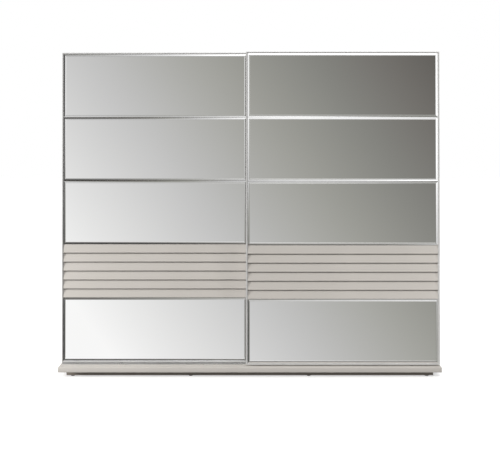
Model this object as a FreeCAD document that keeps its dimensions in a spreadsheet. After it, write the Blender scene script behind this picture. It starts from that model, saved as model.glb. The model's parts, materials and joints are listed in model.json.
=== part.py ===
import FreeCAD, Part

import os
import re

import Sketcher

# Two-door sliding wardrobe. Millimetres. The origin is on the floor under the middle of the piece:
# X runs along its width, the front faces -Y, and Z is up. Each door lies over the front of the
# carcass; the right door runs in front of the left one.

SIZES = {
    # carcass and base
    "base_width": 2472, "base_depth": 680, "base_thickness": 32,
    "glide_height": 3, "glide_radius": 14, "plinth_top": 40, "plinth_inset": 40, "plinth_setback": 60,
    "plinth_board": 16, "carcass_width": 2456, "front_setback": 110, "board": 22,
    "carcass_top": 2052, "back_board": 5, "back_lap": 10,
    # interior
    "shelf_level": 1740, "shelf_setback": 30, "shelf_gap": 1, "pin_radius": 2.5, "pin_length": 18,
    "pin_bore": 9, "pin_front": 60, "pin_pitch": 32, "rail_drop": 60, "rail_radius": 12.5,
    "rail_wall": 1.5, "rail_centre": 250, "socket_radius": 21, "socket_depth": 9, "socket_wall": 3,
    # doors
    "door_span": 2464, "door_gap": 8, "door_top": 2110, "door_width": 1257, "door_thickness": 30,
    "door_pitch": 44, "door_clearance": 10, "edging": 11, "overlap_strip": 36, "leaf_thickness": 19,
    "trim": 12, "trim_recess": 1, "trim_slope": 5, "trim_fall": 4, "trim_lip": 3, "lip_fall": 3,
    "panel_gap": 3, "mirror_thickness": 5, "mirror_seam": 1.5, "seam_fall": 0.8, "slat_count": 6,
    "slat_pitch": 58.5, "slat_nose": 1.5, "slat_top": 14.5, "slat_back": 19, "nose_radius": 3.5,
    # running gear
    "track_base": 2.5, "track_length": 2400, "track_start": 3, "track_width": 62, "rear_rail": 18,
    "rail_pitch": 30, "rail_rib": 3, "bead_radius": 3, "bead_level": 14, "roller_radius": 18,
    "roller_width": 12, "running_radius": 14.7, "running_gap": 0.3, "groove_floor": 3.6,
    "groove_mouth": 7.8, "axle_radius": 3, "axle_play": 0.05, "axle_head": 5, "head_thickness": 1.6,
    "hanger_plate": 2.5, "hanger_width": 60, "hanger_inset": 150, "hanger_leg": 82, "front_arm": 2111.5,
    "rear_arm": 2105, "leg_gap": 8, "stop_length": 28, "stop_play": 0.5, "stop_height": 30,
    "stop_width": 16, "stop_slot_gap": 0.2,
    # lower guide
    "guide_base": 1.5, "guide_height": 7, "guide_wall": 1.4, "channel": 5.4, "shoe": 4.6,
    "shoe_width": 50, "shoe_inset": 70, "shoe_height": 46, "shoe_lift": 2,
    # fasteners
    "screw_radius": 2, "screw_head": 4, "screw_cap": 2, "screw_length": 16, "bolt_radius": 3,
    "bolt_length": 45, "bolt_head": 5, "bolt_cap": 0.5,
    # wall bracket
    "bracket_width": 30, "bracket_plate": 2, "bracket_leg": 40, "bracket_inset": 300,
    "bracket_hole": 2.75,
}

# Places worked out from the driving sizes, as expressions the sheet can follow.
CARCASS_FRONT = "(-base_depth/2 + front_setback)"
CARCASS_BACK = "(base_depth/2)"
CARCASS_LEFT = "(-carcass_width/2)"
BASE_TOP = "(plinth_top + base_thickness)"
SIDE_HEIGHT = "(carcass_top - plinth_top - base_thickness - board)"
BAY_WIDTH = "(carcass_width/2 - 1.5*board)"
DOOR_BOTTOM = "(plinth_top + base_thickness + door_gap)"
DOOR_HEIGHT = "(door_top - plinth_top - base_thickness - door_gap)"
BAND = "(slat_count*slat_pitch)"
PANEL_HEIGHT = f"(({DOOR_HEIGHT} - 2*edging - 2*panel_gap - {BAND})/4)"
MIRROR_RECESS = "(door_thickness - leaf_thickness - mirror_thickness)"
BAND_BOTTOM = f"({DOOR_BOTTOM} + edging + {PANEL_HEIGHT})"
PANEL_LEVELS = [
    f"(door_top - edging - {PANEL_HEIGHT})",
    f"(door_top - edging - 2*{PANEL_HEIGHT} - panel_gap)",
    f"(door_top - edging - 3*{PANEL_HEIGHT} - 2*panel_gap)",
    f"({DOOR_BOTTOM} + edging)",
]
ROLLER_LEVEL = "(carcass_top + bead_level + bead_radius + running_gap + running_radius)"
CARCASS_DEPTH = "(base_depth - front_setback)"
SHELF_DEPTH = f"({CARCASS_DEPTH} - shelf_setback - back_board - shelf_gap)"
PIN_FRONT = "(shelf_setback + pin_front)"
PIN_BACK = f"({CARCASS_DEPTH} - back_board - shelf_gap - pin_front)"
RAIL_Y = f"({CARCASS_FRONT} + rail_centre)"
RAIL_Z = "(shelf_level - rail_drop)"
GUIDE_FRONT = f"({CARCASS_FRONT} - door_clearance/2 - door_pitch - channel/2 - guide_wall)"

# Where the screws of a long strip stand, in sixths of its length from its middle.
STRIP_SIXTHS = (-2.7, -1.6, -0.5, 0.5, 1.6, 2.7)
# Where the bolts through the top stand, as shares of the carcass depth.
BOLT_SHARES = (0.2, 0.5, 0.8)
SLAT_COUNT = SIZES["slat_count"]

# Each door: where its left edge and front face lie, the strip that its neighbour hides when it is
# closed, its rail and its hanger's arm.
DOORS = {
    "left": {
        "x": "(-door_span/2)",
        "hidden": "overlap_strip",
        "front": f"({CARCASS_FRONT} - door_clearance - door_thickness)",
        "rail": f"({CARCASS_FRONT} + rear_rail)",
        "arm": "rear_arm",
    },
    "right": {
        "x": "(door_span/2 - door_width)",
        "hidden": "0",
        "front": f"({CARCASS_FRONT} - door_clearance - door_thickness - door_pitch)",
        "rail": f"({CARCASS_FRONT} + rear_rail + rail_pitch)",
        "arm": "front_arm",
    },
}

doc = FreeCAD.newDocument("sliding_wardrobe")
sheet = doc.addObject("Spreadsheet::Sheet", "Sizes")
for row, (alias, value) in enumerate(SIZES.items(), start=1):
    sheet.set(f"A{row}", alias)
    sheet.set(f"B{row}", str(value))
    sheet.setAlias(f"B{row}", alias)
doc.recompute()

ALIAS = re.compile(r"\b(" + "|".join(sorted(SIZES, key=len, reverse=True)) + r")\b")
SUBPARTS = []


def bind(item, prop, formula):
    """Bind a property to a formula written with the sheet's aliases."""
    item.setExpression(prop, ALIAS.sub(r"Sizes.\1", str(formula)))


def place(item, x, y, z):
    bind(item, "Placement.Base.x", x)
    bind(item, "Placement.Base.y", y)
    bind(item, "Placement.Base.z", z)


def keep(item, label):
    """Name an object as one of the sub-parts that are written out."""
    item.Label = label
    SUBPARTS.append(item)
    return item


def new_body(name):
    return doc.addObject("PartDesign::Body", name)


def origin_plane(body, role):
    for feature in body.Origin.OriginFeatures:
        if feature.Role == role:
            return feature
    raise ValueError(role)


def new_sketch(body, role, name, offset="0"):
    sketch = body.newObject("Sketcher::SketchObject", name)
    sketch.AttachmentSupport = (origin_plane(body, role), [""])
    sketch.MapMode = "FlatFace"
    if offset != "0":
        bind(sketch, "AttachmentOffset.Base.z", offset)
    return sketch


def value_of(formula):
    """The number a formula gives with the sheet's present values."""
    return float(sheet.evalExpression(ALIAS.sub(r"Sizes.\1", str(formula))))


def outline(sketch, points):
    """Close a polygon through the points and tie every corner to the sketch's own axes."""
    corners = [FreeCAD.Vector(value_of(u), value_of(v), 0) for u, v in points]
    first = sketch.GeometryCount
    count = len(corners)
    for index in range(count):
        sketch.addGeometry(Part.LineSegment(corners[index], corners[(index + 1) % count]), False)
    for index in range(count):
        following = first + (index + 1) % count
        sketch.addConstraint(Sketcher.Constraint("Coincident", first + index, 2, following, 1))
    for index, (u, v) in enumerate(points):
        tie(sketch, "DistanceX", first + index, 1, u)
        tie(sketch, "DistanceY", first + index, 1, v)


def tie(sketch, kind, geometry, point, formula):
    """Hold one point of a sketch at a distance from the sketch's origin."""
    constraint = Sketcher.Constraint(kind, -1, 1, geometry, point, value_of(formula))
    bind(sketch, f"Constraints[{sketch.addConstraint(constraint)}]", formula)


def circle(sketch, u, v, radius):
    centre = FreeCAD.Vector(value_of(u), value_of(v), 0)
    ring = Part.Circle(centre, FreeCAD.Vector(0, 0, 1), value_of(radius))
    index = sketch.addGeometry(ring, False)
    tie(sketch, "DistanceX", index, 3, u)
    tie(sketch, "DistanceY", index, 3, v)
    row = sketch.addConstraint(Sketcher.Constraint("Radius", index, value_of(radius)))
    bind(sketch, f"Constraints[{row}]", radius)


def rectangle(width, height, u="0", v="0"):
    return [(u, v), (f"{u}+{width}", v), (f"{u}+{width}", f"{v}+{height}"), (u, f"{v}+{height}")]


def pad(body, sketch, length, backwards=False):
    feature = body.newObject("PartDesign::Pad", "Pad")
    feature.Profile = sketch
    feature.Reversed = backwards
    bind(feature, "Length", length)
    return feature


def pocket(body, sketch, depth, backwards=False):
    """Cut a sketch into the body, and make sure that it removed something."""
    doc.recompute()
    before = body.Shape.Volume
    feature = body.newObject("PartDesign::Pocket", "Pocket")
    feature.Profile = sketch
    feature.Reversed = backwards
    bind(feature, "Length", depth)
    doc.recompute()
    if body.Shape.Volume >= before:
        raise ValueError(f"{body.Name}: the pocket cuts nothing")
    return feature


def revolve(body, sketch):
    feature = body.newObject("PartDesign::Revolution", "Revolution")
    feature.Profile = sketch
    feature.ReferenceAxis = (sketch, ["V_Axis"])
    feature.Angle = 360
    return feature


def edges_where(body, test):
    """Names of the edges of a body, in its own coordinates, for which test(start, end) is true."""
    doc.recompute()
    names = []
    for index, edge in enumerate(body.Tip.Shape.Edges, start=1):
        if test(edge.Vertexes[0].Point, edge.Vertexes[-1].Point):
            names.append(f"Edge{index}")
    if not names:
        raise ValueError(f"{body.Name}: no edge fits")
    return names


def round_edges(body, base, names, radius):
    feature = body.newObject("PartDesign::Fillet", "Fillet")
    feature.Base = (base, names)
    bind(feature, "Radius", radius)
    return feature


def inset(width, height, margin):
    """The corners of a rectangle drawn in from the edges of a width by height one."""
    return rectangle(f"({width} - 2*{margin})", f"({height} - 2*{margin})", margin, margin)


def taper(body, kind, near, near_y, far, far_y):
    """Join two outlines, drawn as seen from the front, by flat slopes: added or cut away."""
    sketches = []
    for points, y in ((near, near_y), (far, far_y)):
        sketch = new_sketch(body, "XZ_Plane", f"{body.Name}_slope", offset=f"-{y}")
        outline(sketch, points)
        sketches.append(sketch)
    doc.recompute()
    feature = body.newObject(kind, "Taper")
    feature.Profile = sketches[0]
    feature.Sections = [sketches[1]]
    feature.Ruled = True
    return feature


def board(label, x, y, z, width, depth, height, points=None):
    """A panel standing on its own outline: a rectangle, or the points given."""
    body = new_body(label)
    sketch = new_sketch(body, "XY_Plane", f"{label}_outline")
    outline(sketch, points or rectangle(width, depth))
    pad(body, sketch, height)
    place(body, x, y, z)
    return body


def front_plate(label, x, y, z, width, height, depth):
    """A plate drawn as seen from the front, from its front face at y backwards."""
    body = new_body(label)
    sketch = new_sketch(body, "XZ_Plane", f"{label}_outline")
    outline(sketch, rectangle(width, height))
    feature = pad(body, sketch, depth, backwards=True)
    place(body, x, y, z)
    return body, feature


def extrusion(label, x, y, z, points, length):
    """A section drawn in the YZ plane and pushed along X."""
    body = new_body(label)
    sketch = new_sketch(body, "YZ_Plane", f"{label}_section")
    outline(sketch, points)
    feature = pad(body, sketch, length)
    place(body, x, y, z)
    return body, feature


def group(label, master, places, turns=None):
    """Copies of one master solid at the places given, each a separate solid of one sub-part."""
    links = []
    for index, (x, y, z) in enumerate(places):
        link = doc.addObject("App::Link", f"{label}_copy")
        link.LinkedObject = master
        if turns:
            link.Placement = FreeCAD.Placement(FreeCAD.Vector(), turns[index])
        place(link, x, y, z)
        links.append(link)
    compound = doc.addObject("Part::Compound", label)
    compound.Links = links
    return keep(compound, label)


UPRIGHT = FreeCAD.Rotation()
FACING_BACK = FreeCAD.Rotation(FreeCAD.Vector(1, 0, 0), -90)
FACING_RIGHT = FreeCAD.Rotation(FreeCAD.Vector(0, 1, 0), 90)
FACING_LEFT = FreeCAD.Rotation(FreeCAD.Vector(0, 1, 0), -90)
HALF_TURN = FreeCAD.Rotation(FreeCAD.Vector(0, 0, 1), 180)


def make_screw(label, radius, length, head, cap):
    """A screw with its point down, the underside of its head at the origin."""
    body = new_body(label)
    sketch = new_sketch(body, "XZ_Plane", f"{label}_section")
    outline(sketch, [
        ("0", f"-{length}"),
        (f"{radius}/2", f"-{length}"),
        (radius, f"-{length}+2*{radius}"),
        (radius, "0"),
        (head, "0"),
        (head, f"{cap}/2"),
        (f"{head}/2", cap),
        ("0", cap),
    ])
    revolve(body, sketch)
    return body


def make_plinth():
    front = "(-base_depth/2 + plinth_setback)"
    back = f"({CARCASS_BACK} - plinth_inset - plinth_board)"
    left = "(-base_width/2 + plinth_inset)"
    length = "(base_width - 2*plinth_inset)"
    height = "(plinth_top - glide_height)"
    keep(board("plinth_front", left, front, "glide_height", length, "plinth_board", height), "plinth_front")
    keep(board("plinth_back", left, back, "glide_height", length, "plinth_board", height), "plinth_back")
    between = f"({back} - {front} - plinth_board)"
    rib = board("plinth_rib", "0", "0", "0", "plinth_board", between, height)
    behind_front = f"({front} + plinth_board)"
    group("plinth_ends", rib, [
        (left, behind_front, "glide_height"),
        (f"(-{left} - plinth_board)", behind_front, "glide_height"),
    ])
    group("plinth_ribs", rib, [
        (f"({step}*base_width/8 - plinth_board/2)", behind_front, "glide_height") for step in (-2, 0, 2)
    ])
    glide = doc.addObject("Part::Cylinder", "glide")
    bind(glide, "Radius", "glide_radius")
    bind(glide, "Height", "glide_height")
    rows = (f"({front} + plinth_board/2)", f"({back} + plinth_board/2)")
    group("floor_glides", glide, [
        (f"({step}*(base_width/2 - plinth_inset - 3*glide_radius)/3)", y, "0")
        for step in (-3, -1, 1, 3) for y in rows
    ])


def make_base_board():
    body = board("base_board", "-base_width/2", "-base_depth/2", "plinth_top",
                 "base_width", "base_depth", "base_thickness")
    names = edges_where(body, lambda start, end: abs(start.z - end.z) < 1 and max(start.y, end.y) < 1)
    round_edges(body, body.Tip, names, "nose_radius/2")
    keep(body, "base_board")


def bore_row(body, x_plane, depth, backwards):
    """Two columns of shelf-pin holes, five holes high, centred on the pins of the shelf."""
    sketch = new_sketch(body, "YZ_Plane", f"{body.Name}_bores", offset=x_plane)
    level = f"(shelf_level - pin_radius - 2*pin_pitch - {BASE_TOP})"
    for y in (PIN_FRONT, PIN_BACK):
        circle(sketch, y, level, "pin_radius")
    first = pocket(body, sketch, depth, backwards)
    pattern = body.newObject("PartDesign::LinearPattern", "Bores")
    pattern.Originals = [first]
    pattern.Direction = (origin_plane(body, "Z_Axis"), [""])
    bind(pattern, "Length", "4*pin_pitch")
    pattern.Occurrences = 5
    body.Tip = pattern


def make_carcass():
    inner = "(board - back_lap)"
    full = CARCASS_DEPTH
    notch = f"({CARCASS_DEPTH} - back_board)"
    left = board("side_panel_left", CARCASS_LEFT, CARCASS_FRONT, BASE_TOP, "board", full, SIDE_HEIGHT,
                 [("0", "0"), ("board", "0"), ("board", notch), (inner, notch), (inner, full), ("0", full)])
    bore_row(left, "board", "pin_bore", False)
    keep(left, "side_panel_left")
    right = board("side_panel_right", "(carcass_width/2 - board)", CARCASS_FRONT, BASE_TOP,
                  "board", full, SIDE_HEIGHT,
                  [("0", "0"), ("board", "0"), ("board", full), ("back_lap", full),
                   ("back_lap", notch), ("0", notch)])
    bore_row(right, "0", "pin_bore", True)
    keep(right, "side_panel_right")
    middle = board("partition", "-board/2", CARCASS_FRONT, BASE_TOP, "board", notch, SIDE_HEIGHT)
    bore_row(middle, "board", "board", False)
    keep(middle, "partition")
    keep(board("top_panel", CARCASS_LEFT, CARCASS_FRONT, "(carcass_top - board)",
               "carcass_width", full, "board"), "top_panel")
    back_width = f"(-{CARCASS_LEFT} - {inner})"
    for side, x in (("left", f"({CARCASS_LEFT} + {inner})"), ("right", "0")):
        back, _ = front_plate(f"back_panel_{side}", x, f"({CARCASS_BACK} - back_board)", BASE_TOP,
                              back_width, SIDE_HEIGHT, "back_board")
        keep(back, f"back_panel_{side}")


def make_interior():
    bays = {"left": f"({CARCASS_LEFT} + board)", "right": "(board/2)"}
    for side, x in bays.items():
        keep(board(f"shelf_{side}", f"({x} + shelf_gap)", f"({CARCASS_FRONT} + shelf_setback)", "shelf_level",
                   f"({BAY_WIDTH} - 2*shelf_gap)", SHELF_DEPTH, "board"), f"shelf_{side}")
    pin = doc.addObject("Part::Cylinder", "pin")
    bind(pin, "Radius", "pin_radius")
    bind(pin, "Height", "pin_length")
    level = "(shelf_level - pin_radius)"
    places = []
    for x in bays.values():
        for y in (PIN_FRONT, PIN_BACK):
            for start in (f"({x} - pin_bore)", f"({x} + {BAY_WIDTH} + pin_bore - pin_length)"):
                places.append((start, f"({CARCASS_FRONT} + {y})", level))
    group("shelf_pins", pin, places, [FACING_RIGHT] * len(places))

    for side, x in bays.items():
        rail = new_body(f"hanging_rail_{side}")
        sketch = new_sketch(rail, "YZ_Plane", f"hanging_rail_{side}_section")
        circle(sketch, "0", "0", "rail_radius")
        circle(sketch, "0", "0", "(rail_radius - rail_wall)")
        pad(rail, sketch, f"({BAY_WIDTH} - 2*socket_wall)")
        place(rail, f"({x} + socket_wall)", RAIL_Y, RAIL_Z)
        keep(rail, f"hanging_rail_{side}")

    socket = new_body("socket")
    sketch = new_sketch(socket, "YZ_Plane", "socket_rim")
    circle(sketch, "0", "0", "socket_radius")
    base = pad(socket, sketch, "socket_depth")
    names = edges_where(socket, lambda start, end: start.x > 1 and end.x > 1)
    round_edges(socket, base, names, "socket_wall/2")
    cup = new_sketch(socket, "YZ_Plane", "socket_cup", offset="socket_depth")
    circle(cup, "0", "0", "rail_radius")
    pocket(socket, cup, "(socket_depth - socket_wall)")
    places = []
    turns = []
    for x in bays.values():
        places.append((x, RAIL_Y, RAIL_Z))
        turns.append(UPRIGHT)
        places.append((f"({x} + {BAY_WIDTH})", RAIL_Y, RAIL_Z))
        turns.append(HALF_TURN)
    group("rail_sockets", socket, places, turns)


def make_track():
    back = "track_width"
    rear = "(rear_rail - track_start)"
    points = [("0", "0"), (back, "0"), (back, "track_base")]
    for rib in (f"({rear} + rail_pitch)", rear):
        points.append((f"({rib} + rail_rib/2)", "track_base"))
        points.append((f"({rib} + rail_rib/2)", "bead_level"))
        points.append((f"({rib} - rail_rib/2)", "bead_level"))
        points.append((f"({rib} - rail_rib/2)", "track_base"))
    points.append(("0", "track_base"))
    track, _ = extrusion("top_track", "-track_length/2", f"({CARCASS_FRONT} + track_start)", "carcass_top",
                         points, "track_length")
    beads = new_sketch(track, "YZ_Plane", "top_track_beads")
    circle(beads, rear, "bead_level", "bead_radius")
    circle(beads, f"({rear} + rail_pitch)", "bead_level", "bead_radius")
    pad(track, beads, "track_length")
    keep(track, "top_track")

    slot = "(bead_radius + stop_slot_gap)"
    top = "(bead_level + bead_radius + stop_slot_gap - track_base)"
    half = "(stop_width/2)"
    block, _ = extrusion("stop_block", "0", "0", "0", [
        (f"-{half}", "0"), (f"-{slot}", "0"), (f"-{slot}", top), (slot, top), (slot, "0"),
        (half, "0"), (half, "stop_height"), (f"-{half}", "stop_height"),
    ], "stop_length")
    reach = "(door_span/2 - hanger_inset + roller_radius + stop_play)"
    places = []
    for door in DOORS.values():
        for x in (f"(-{reach} - stop_length)", reach):
            places.append((x, door["rail"], "(carcass_top + track_base)"))
    group("track_stops", block, places)


def make_lower_guide():
    wall = "guide_wall"
    slot = "channel"
    high = "guide_height"
    low = "guide_base"
    width = "(door_pitch + channel + 2*guide_wall)"
    guide, _ = extrusion("bottom_guide", CARCASS_LEFT, GUIDE_FRONT, BASE_TOP, [
        ("0", "0"), (width, "0"), (width, high), (f"({width}-{wall})", high), (f"({width}-{wall})", low),
        (f"({width}-{wall}-{slot})", low), (f"({width}-{wall}-{slot})", high),
        (f"({width}-2*{wall}-{slot})", high), (f"({width}-2*{wall}-{slot})", low),
        (f"(2*{wall}+{slot})", low), (f"(2*{wall}+{slot})", high), (f"({wall}+{slot})", high),
        (f"({wall}+{slot})", low), (wall, low), (wall, high), ("0", high),
    ], "carcass_width")
    keep(guide, "bottom_guide")


def make_wall_brackets():
    """Two angles behind the top panel, each with a hole for a screw into the wall."""
    points = [
        ("0", "0"), ("bracket_leg", "0"), ("bracket_leg", "bracket_leg"),
        ("(bracket_leg - bracket_plate)", "bracket_leg"),
        ("(bracket_leg - bracket_plate)", "bracket_plate"), ("0", "bracket_plate"),
    ]
    angle, _ = extrusion("bracket", "0", "0", "0", points, "bracket_width")
    hole = new_sketch(angle, "XZ_Plane", "bracket_hole", offset="-bracket_leg")
    circle(hole, "bracket_width/2", "(bracket_leg*3/5)", "bracket_hole")
    pocket(angle, hole, "bracket_plate", backwards=True)
    y = f"({CARCASS_BACK} - bracket_leg)"
    group("wall_brackets", angle, [
        (f"({CARCASS_LEFT} + bracket_inset - bracket_width/2)", y, "carcass_top"),
        (f"(-{CARCASS_LEFT} - bracket_inset - bracket_width/2)", y, "carcass_top"),
    ])


def make_carcass_fasteners():
    screw = make_screw("screw", "screw_radius", "screw_length", "screw_head", "screw_cap")
    bolt = make_screw("bolt", "bolt_radius", "bolt_length", "bolt_head", "bolt_cap")

    mid_track = f"({CARCASS_FRONT} + rear_rail + rail_pitch/2)"
    places = [(f"({step}*track_length/6)", mid_track, "(carcass_top + track_base)") for step in STRIP_SIXTHS]
    for sign in ("-", ""):
        for across in ("-", "+"):
            x = f"({sign}(carcass_width/2 - bracket_inset) {across} bracket_width/5)"
            places.append((x, f"({CARCASS_BACK} - bracket_leg*2/3)", "(carcass_top + bracket_plate)"))
    group("top_screws", screw, places)

    mid_guide = f"({GUIDE_FRONT} + door_pitch/2 + channel/2 + guide_wall)"
    group("guide_screws", screw, [
        (f"({step}*carcass_width/6)", mid_guide, f"({BASE_TOP} + guide_base)") for step in STRIP_SIXTHS
    ])

    places = []
    for x in (f"({CARCASS_LEFT} + board/2)", "0", f"(-{CARCASS_LEFT} - board/2)"):
        for share in BOLT_SHARES:
            places.append((x, f"({CARCASS_FRONT} + {share}*{CARCASS_DEPTH})", "carcass_top"))
    group("carcass_screws", bolt, places)

    offset = "(socket_radius + rail_radius)/2"
    places = []
    turns = []
    for x in (f"({CARCASS_LEFT} + board)", "(board/2)"):
        for level in (f"({RAIL_Z} + {offset})", f"({RAIL_Z} - {offset})"):
            places.append((f"({x} + socket_depth)", RAIL_Y, level))
            turns.append(FACING_RIGHT)
            places.append((f"({x} + {BAY_WIDTH} - socket_depth)", RAIL_Y, level))
            turns.append(FACING_LEFT)
    group("socket_screws", screw, places, turns)
    return screw


def make_door(side, door, screw):
    """A board in a metal edging, with four framed mirrors and a band of slats on its front."""
    width = f"(door_width - 2*edging - {door['hidden']})"
    back = f"({door['front']} + door_thickness)"
    inner_x = f"({door['x']} + edging)"

    frame, base = front_plate(f"{side}_edging", door["x"], door["front"], DOOR_BOTTOM,
                              "door_width", DOOR_HEIGHT, "door_thickness")
    opening = new_sketch(frame, "XZ_Plane", f"{side}_edging_opening")
    outline(opening, rectangle(width, f"({DOOR_HEIGHT} - 2*edging)", "edging", "edging"))
    base = pocket(frame, opening, "door_thickness")
    names = edges_where(frame, lambda start, end: max(abs(start.y), abs(end.y)) < 0.01)
    round_edges(frame, base, names, "nose_radius/5")
    keep(frame, f"{side}_edging")

    leaf, _ = front_plate(f"{side}_door_leaf", inner_x, f"({back} - leaf_thickness)",
                          f"({DOOR_BOTTOM} + edging)", width, f"({DOOR_HEIGHT} - 2*edging)",
                          "leaf_thickness")
    recess = new_sketch(leaf, "XZ_Plane", f"{side}_slat_recess")
    outline(recess, rectangle(width, BAND, "0", PANEL_HEIGHT))
    pocket(leaf, recess, "(slat_back - door_thickness + leaf_thickness)")
    keep(leaf, f"{side}_door_leaf")

    for index, level in enumerate(PANEL_LEVELS, start=1):
        make_trim(f"{side}_trim_{index}", inner_x, door["front"], level, width)
        make_mirror(f"{side}_mirror_{index}", inner_x, door["front"], level, width)

    slat, feature = extrusion(f"{side}_slat", "0", "0", "0", [
        ("slat_nose", "0"), ("slat_back", "0"), ("slat_back", "slat_pitch"), ("slat_top", "slat_pitch"),
    ], width)
    nose = value_of("slat_nose") + 0.01
    names = edges_where(slat, lambda start, end: max(start.y, end.y) < nose)
    round_edges(slat, feature, names, "nose_radius")
    group(f"{side}_slats", slat, [
        (inner_x, door["front"], f"({BAND_BOTTOM} + {step}*slat_pitch)") for step in range(SLAT_COUNT)
    ])
    make_door_hardware(side, door, back, screw)


def make_trim(label, x, front, z, width):
    """A polished frame round one mirror, sloping away from a narrow flat on both sides."""
    body = new_body(label)
    size = (width, PANEL_HEIGHT)
    sketch = new_sketch(body, "XZ_Plane", f"{label}_outline", offset="-trim_fall")
    outline(sketch, rectangle(*size))
    pad(body, sketch, "(door_thickness - leaf_thickness - trim_recess - trim_fall)", backwards=True)
    taper(body, "PartDesign::AdditiveLoft", rectangle(*size), "trim_fall", inset(*size, "trim_slope"), "0")
    opening = new_sketch(body, "XZ_Plane", f"{label}_opening")
    outline(opening, inset(*size, "trim"))
    pocket(body, opening, "(door_thickness - leaf_thickness)")
    taper(body, "PartDesign::SubtractiveLoft", inset(*size, "(trim - trim_lip)"), "0",
          inset(*size, "trim"), "lip_fall")
    place(body, x, f"({front} + trim_recess)", z)
    keep(body, label)


def make_mirror(label, x, front, z, width):
    """A mirror plate with a fine seamed edge."""
    body = new_body(label)
    size = (f"({width} - 2*trim)", f"({PANEL_HEIGHT} - 2*trim)")
    sketch = new_sketch(body, "XZ_Plane", f"{label}_outline", offset="-seam_fall")
    outline(sketch, rectangle(*size))
    pad(body, sketch, "(mirror_thickness - seam_fall)", backwards=True)
    taper(body, "PartDesign::AdditiveLoft", rectangle(*size), "seam_fall", inset(*size, "mirror_seam"), "0")
    place(body, f"({x} + trim)", f"({front} + {MIRROR_RECESS})", f"({z} + trim)")
    keep(body, label)


def make_door_hardware(side, door, back, screw):
    """Two hangers with their rollers at the top of a door, two guide shoes at its foot, and screws."""
    arm = door["arm"]
    plate = "hanger_plate"
    far = f"({door['rail']} - {back} + leg_gap)"
    foot = f"({ROLLER_LEVEL} - 3*axle_radius)"
    centres = [f"({door['x']} + hanger_inset)", f"({door['x']} + door_width - hanger_inset)"]

    hanger, _ = extrusion(f"{side}_hanger", "0", "0", "0", [
        ("0", f"({arm}-hanger_leg)"), (plate, f"({arm}-hanger_leg)"), (plate, arm), (far, arm),
        (far, foot), (f"({far}+{plate})", foot), (f"({far}+{plate})", f"({arm}+{plate})"),
        ("0", f"({arm}+{plate})"),
    ], "hanger_width")
    eye = new_sketch(hanger, "XZ_Plane", f"{side}_hanger_eye", offset=f"-({far}+{plate})")
    circle(eye, "hanger_width/2", ROLLER_LEVEL, "axle_radius")
    pocket(hanger, eye, plate, backwards=True)
    group(f"{side}_hangers", hanger, [(f"({x} - hanger_width/2)", back, "0") for x in centres])

    axle = new_body(f"{side}_axle")
    head_back = "(roller_width/2 + running_gap)"
    spin = new_sketch(axle, "XZ_Plane", f"{side}_axle_pin", offset=head_back)
    circle(spin, "0", "0", "axle_radius")
    pad(axle, spin, f"({head_back} + leg_gap + hanger_plate)", backwards=True)
    cap = new_sketch(axle, "XZ_Plane", f"{side}_axle_head", offset=head_back)
    circle(cap, "0", "0", "axle_head")
    pad(axle, cap, "head_thickness")
    shoulder = new_sketch(axle, "XZ_Plane", f"{side}_axle_shoulder", offset="-leg_gap")
    circle(shoulder, "0", "0", "axle_head")
    pad(axle, shoulder, f"(leg_gap - {head_back})")
    group(f"{side}_axles", axle, [(x, door["rail"], ROLLER_LEVEL) for x in centres])

    for name, x in zip(("outer", "inner") if side == "left" else ("inner", "outer"), centres):
        make_roller(f"{side}_roller_{name}", x, door["rail"])

    shoe, _ = extrusion(f"{side}_shoe", "0", "0", "0", [
        ("(door_clearance/2 - shoe/2)", f"({BASE_TOP} + guide_base + shoe_lift/2)"),
        ("(door_clearance/2 + shoe/2)", f"({BASE_TOP} + guide_base + shoe_lift/2)"),
        ("(door_clearance/2 + shoe/2)", f"({DOOR_BOTTOM} + shoe_height)"),
        ("0", f"({DOOR_BOTTOM} + shoe_height)"),
        ("0", f"({DOOR_BOTTOM} + shoe_lift)"),
        ("(door_clearance/2 - shoe/2)", f"({DOOR_BOTTOM} + shoe_lift)"),
    ], "shoe_width")
    shoes = [f"({door['x']} + shoe_inset)", f"({door['x']} + door_width - shoe_inset)"]
    group(f"{side}_guide_shoes", shoe, [(f"({x} - shoe_width/2)", back, "0") for x in shoes])

    places = []
    for x in centres:
        for across in ("-", "+"):
            for drop in ("hanger_leg/2", "hanger_leg*4/5"):
                places.append((f"({x} {across} hanger_width/3)", f"({back} + {plate})", f"({arm} - {drop})"))
    for x in shoes:
        for across in ("-", "+"):
            places.append((f"({x} {across} shoe_width/3)", f"({back} + door_clearance/2 + shoe/2)",
                           f"({DOOR_BOTTOM} + shoe_height*2/3)"))
    group(f"{side}_door_screws", screw, places, [FACING_BACK] * len(places))


def make_roller(label, x, y):
    """A roller with a sloping-sided groove for the bead of its rail, turning on its axle along Y."""
    body = new_body(label)
    sketch = new_sketch(body, "XY_Plane", f"{label}_section")
    bore = "(axle_radius + axle_play)"
    outline(sketch, [
        (bore, "-roller_width/2"), ("roller_radius", "-roller_width/2"), ("roller_radius", "-groove_mouth/2"),
        ("running_radius", "-groove_floor/2"), ("running_radius", "groove_floor/2"),
        ("roller_radius", "groove_mouth/2"), ("roller_radius", "roller_width/2"), (bore, "roller_width/2"),
    ])
    revolve(body, sketch)
    place(body, x, y, ROLLER_LEVEL)
    keep(body, label)


def check_all():
    doc.recompute()
    for item in doc.Objects:
        if "Invalid" in item.State or "Error" in item.State:
            raise ValueError(f"{item.Label}: {item.State}")
    for item in SUBPARTS:
        if item.Shape.isNull() or not item.Shape.isValid():
            raise ValueError(f"{item.Label}: its shape is not valid")


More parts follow.
